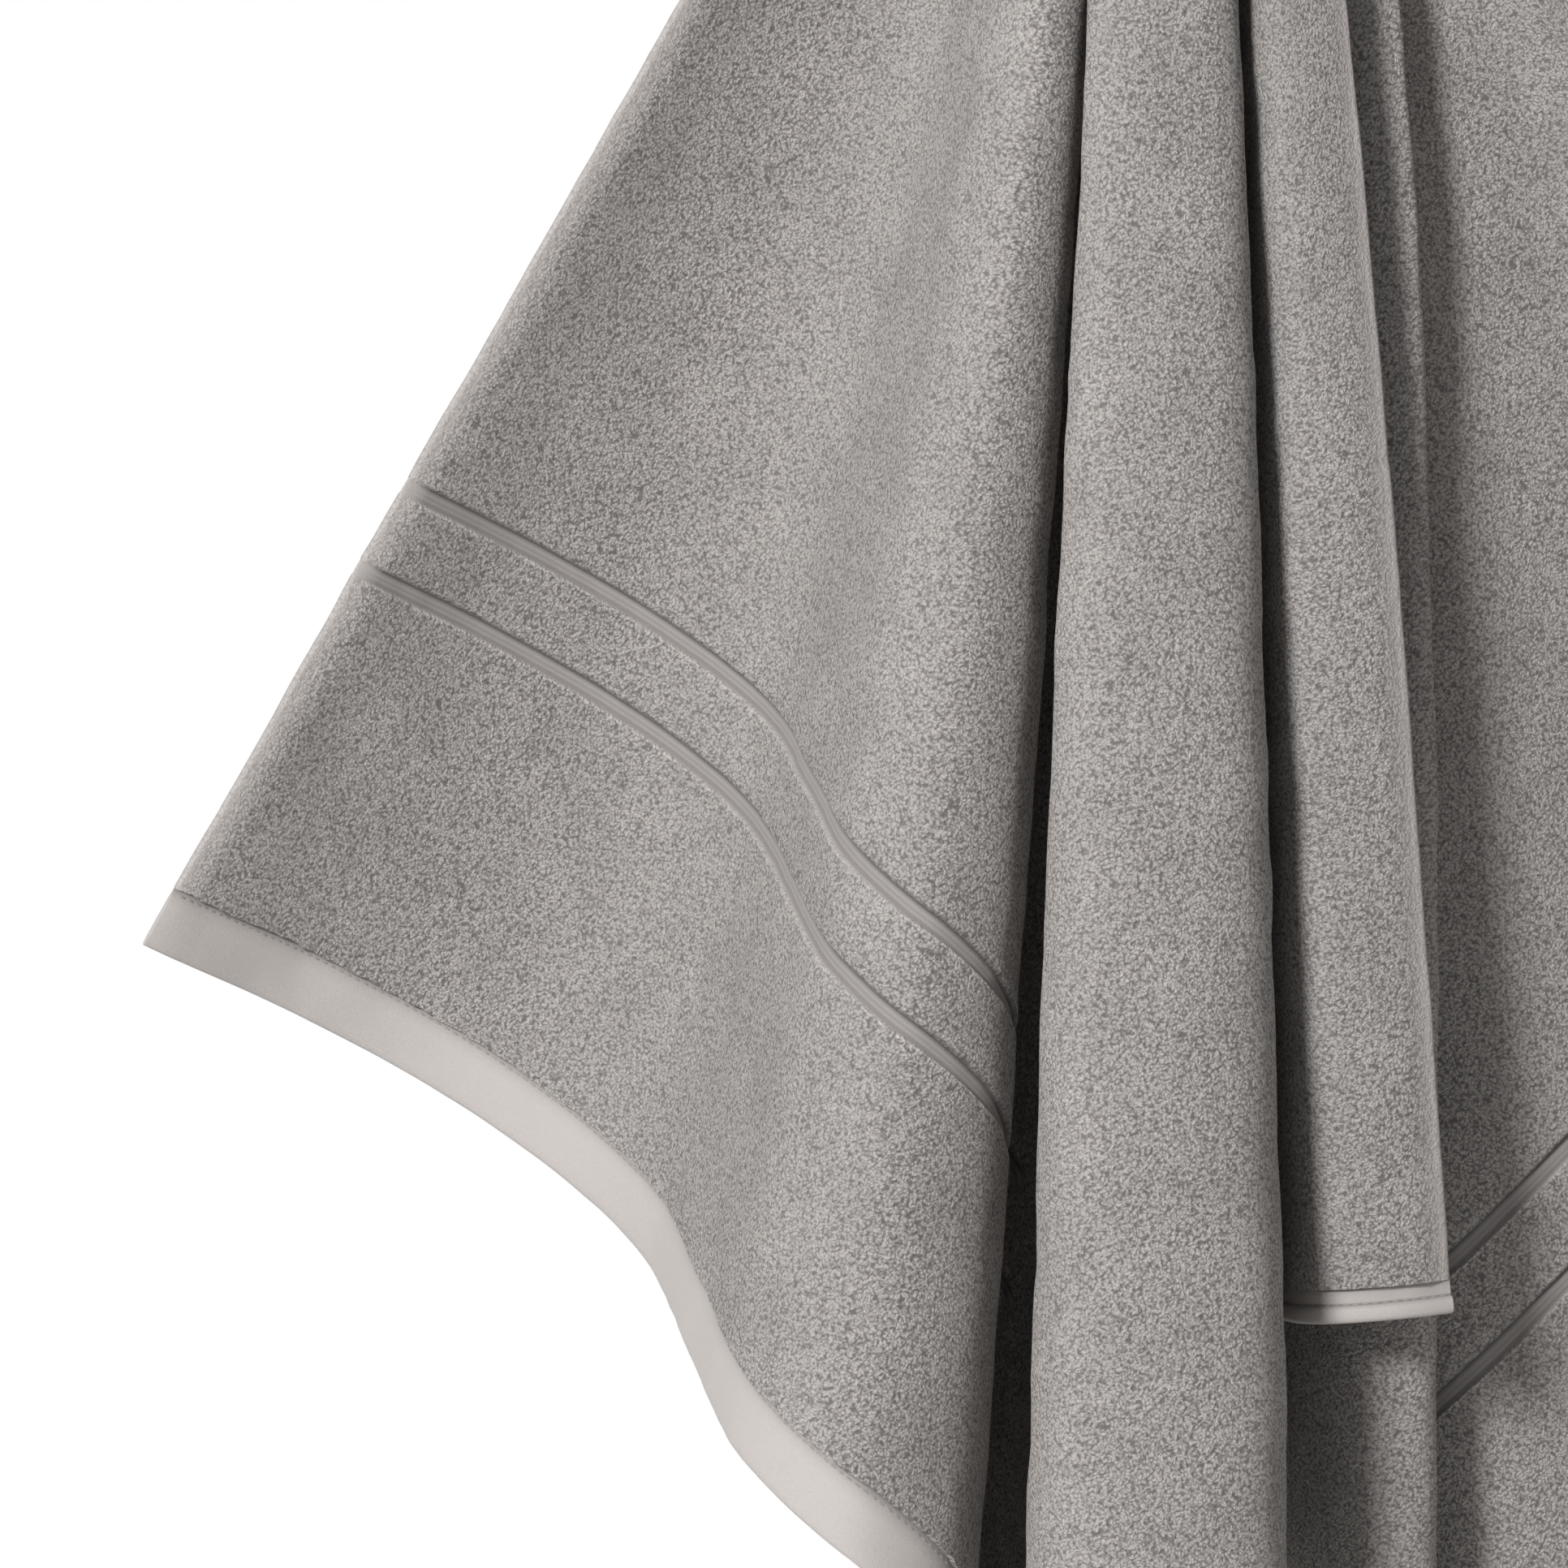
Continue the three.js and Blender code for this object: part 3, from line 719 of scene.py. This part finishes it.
def maths(tree, operation, first, second=None, third=None):
    made = tree.nodes.new("ShaderNodeMath")
    made.operation = operation
    for index, value in enumerate((first, second, third)):
        if value is None:
            continue
        if hasattr(value, "is_output"):
            tree.links.new(value, made.inputs[index])
        else:
            made.inputs[index].default_value = value
    return made.outputs[0]


def ramp(tree, value, stops):
    made = tree.nodes.new("ShaderNodeValToRGB")
    tree.links.new(value, made.inputs[0])
    while len(made.color_ramp.elements) < len(stops):
        made.color_ramp.elements.new(0.5)
    for element, (position, colour) in zip(made.color_ramp.elements, stops):
        element.position = position
        element.color = (*colour, 1)
    return made.outputs[0]


def terry(name, painted_shade, body, light, woven):
    material = bpy.data.materials.new(name)
    material.use_nodes = True
    tree = material.node_tree
    shader = tree.nodes["Principled BSDF"]
    shader.inputs["Roughness"].default_value = 0.95
    shader.inputs["Specular IOR Level"].default_value = 0.2
    shader.inputs["Sheen Weight"].default_value = 0.25
    shader.inputs["Sheen Roughness"].default_value = 0.55
    shader.inputs["Sheen Tint"].default_value = (1.0, 0.97, 0.93, 1)
    place = tree.nodes.new("ShaderNodeUVMap")
    place.uv_map = "cloth"
    flat = tree.nodes.new("ShaderNodeAttribute")
    flat.attribute_name = "flat_weave"

    def textured(kind, **inputs):
        made = node(tree, kind, **inputs)
        tree.links.new(place.outputs[0], made.inputs["Vector"])
        return made

    bend = textured("ShaderNodeTexNoise", Scale=420, Detail=1.0)
    nudged = tree.nodes.new("ShaderNodeVectorMath")
    nudged.operation = "MULTIPLY_ADD"
    tree.links.new(bend.outputs["Color"], nudged.inputs[0])
    nudged.inputs[1].default_value = (0.0018, 0.0018, 0)
    tree.links.new(place.outputs[0], nudged.inputs[2])
    loops = tree.nodes.new("ShaderNodeTexVoronoi")
    loops.inputs["Scale"].default_value = 950
    tree.links.new(nudged.outputs[0], loops.inputs["Vector"])
    yarn = textured("ShaderNodeTexNoise", Scale=1700, Detail=2.0, Roughness=0.7)
    clumps = textured("ShaderNodeTexNoise", Scale=640, Detail=4.0, Roughness=0.8)
    patches = textured("ShaderNodeTexNoise", Scale=30, Detail=3.0, Roughness=0.55)
    height = maths(tree, "SUBTRACT", 1.0, loops.outputs["Distance"])
    height = maths(tree, "MULTIPLY_ADD", maths(tree, "SUBTRACT", clumps.outputs[0], 0.5), 1.7, height)
    height = maths(tree, "MULTIPLY_ADD", maths(tree, "SUBTRACT", yarn.outputs[0], 0.5), 0.35, height)
    # Loop height sets the colour: painted shade between the loops, painted highlight on the loop tips.
    pile_colour = ramp(tree, height, ((0.12, painted_shade), (0.50, body), (0.86, light)))
    lean = ramp(tree, patches.outputs[0], ((0.3, (0.90, 0.90, 0.90)), (0.7, (1.06, 1.06, 1.06))))
    pile_colour = mix_colour(tree, 1.0, pile_colour, lean, "MULTIPLY")

    rib_height = maths(tree, "MULTIPLY_ADD", clumps.outputs[0], 0.5, yarn.outputs[0])
    rib_colour = ramp(tree, rib_height, ((0.45, tuple(0.90 * c for c in woven)), (1.05, woven)))
    colour = mix_colour(tree, flat.outputs["Fac"], pile_colour, rib_colour)
    # The shade mark darkens the colour: painted shade in the crevices of the bands and hems, and a
    # painted highlight where the mark is negative.
    shade = tree.nodes.new("ShaderNodeAttribute")
    shade.attribute_name = "shade"
    darker = maths(tree, "MULTIPLY_ADD", shade.outputs["Fac"], -0.62, 1.0)
    colour = mix_colour(tree, 1.0, colour, darker, "MULTIPLY")
    tree.links.new(colour, shader.inputs["Base Color"])
    rib_height = maths(tree, "MULTIPLY", rib_height, 0.18)
    keep = maths(tree, "SUBTRACT", 1.0, flat.outputs["Fac"])
    whole = maths(tree, "MULTIPLY", height, keep)
    whole = maths(tree, "MULTIPLY_ADD", rib_height, flat.outputs["Fac"], whole)
    bump = node(tree, "ShaderNodeBump", Strength=1.0, Distance=0.0013)
    tree.links.new(whole, bump.inputs["Height"])
    tree.links.new(bump.outputs[0], shader.inputs["Normal"])
    return material


# Pile colours: painted shade between the loops, the yarn's own colour, and a painted highlight on the
# loop tips.
SHADE_BETWEEN_LOOPS = (0.17, 0.155, 0.147)
PILE_BODY = (0.400, 0.370, 0.354)
HIGHLIT_LOOP_TIPS = (0.62, 0.580, 0.556)
towel_cloth = terry("warm grey terry", SHADE_BETWEEN_LOOPS, PILE_BODY, HIGHLIT_LOOP_TIPS, (0.43, 0.400, 0.384))
hem_cloth = terry("warm grey hem", SHADE_BETWEEN_LOOPS, PILE_BODY, HIGHLIT_LOOP_TIPS, (0.445, 0.412, 0.396))

# %% [markdown]
# ## Thread and tape
# The thread matches the cloth but is smoother. The tape is a fine twill with slanting lines.

# %% Thread and tape materials
def fine(name, colour, scale, direction, roughness):
    material = bpy.data.materials.new(name)
    material.use_nodes = True
    tree = material.node_tree
    shader = tree.nodes["Principled BSDF"]
    shader.inputs["Roughness"].default_value = roughness
    shader.inputs["Sheen Weight"].default_value = 0.15
    place = tree.nodes.new("ShaderNodeTexCoord")
    lines_across = node(tree, "ShaderNodeTexWave", Scale=scale, Distortion=0.6)
    lines_across.bands_direction = direction
    tree.links.new(place.outputs["Object"], lines_across.inputs["Vector"])
    shade = ramp(tree, lines_across.outputs["Fac"],
                 ((0.1, tuple(0.7 * c for c in colour)), (0.8, colour)))
    tree.links.new(shade, shader.inputs["Base Color"])
    bump = node(tree, "ShaderNodeBump", Strength=0.6, Distance=0.0003)
    tree.links.new(lines_across.outputs["Fac"], bump.inputs["Height"])
    tree.links.new(bump.outputs[0], shader.inputs["Normal"])
    return material


thread = fine("sewing thread", (0.36, 0.335, 0.31), 900, "DIAGONAL", 0.6)
twill = fine("twill tape", (0.44, 0.41, 0.385), 260, "DIAGONAL", 0.8)

# %% [markdown]
# ## Joining the cloth to the moving bodies
# The middle stays with the hook. Each side is set where it hangs and joins no body. The hand towel
# lifts off as one.

# %% Materials and bodies
def finished(piece, material, slot, *nodes):
    piece.data.materials.clear()
    piece.data.materials.append(material)
    if nodes:
        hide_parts(*nodes)


finished(left_side, towel_cloth, "terry_pile", "bath_towel_left_wing", "upper_left_selvedge")
finished(right_side, towel_cloth, "terry_pile", "bath_towel_right_wing", "upper_right_selvedge")
finished(middle, towel_cloth, "terry_pile", "bath_towel_centre_folds", "lower_selvedge",
         "bath_towel_gathered_top")
finished(left_hem, hem_cloth, "flat_woven_border", "left_wing_hem", "left_corner_hem")
finished(right_hem, hem_cloth, "flat_woven_border", "right_wing_hem", "right_corner_hem")
finished(left_stitches, thread, "sewing_thread", "left_wing_hem_thread")
finished(right_stitches, thread, "sewing_thread", "right_wing_hem_thread")
finished(hand, towel_cloth, "terry_pile", "hand_towel", "hand_towel_selvedge")
finished(hand_neck, towel_cloth, "terry_pile", "hand_towel_gathered_top")
finished(hand_hem, hem_cloth, "flat_woven_border", "hand_towel_hem")
finished(hand_stitches, thread, "sewing_thread", "hand_towel_hem_thread")
finished(bath_loop, twill, "loop_tape", "bath_towel_loop")
finished(hand_loop, twill, "loop_tape", "hand_towel_loop")

for piece in (middle, bath_loop):
    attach(piece, "bath_towel")
for piece in (hand, hand_neck, hand_hem, hand_stitches, hand_loop):
    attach(piece, "hand_towel")

for piece in (left_side, left_hem, left_stitches):
    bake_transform(piece)
for piece in (right_side, right_hem, right_stitches):
    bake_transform(piece)
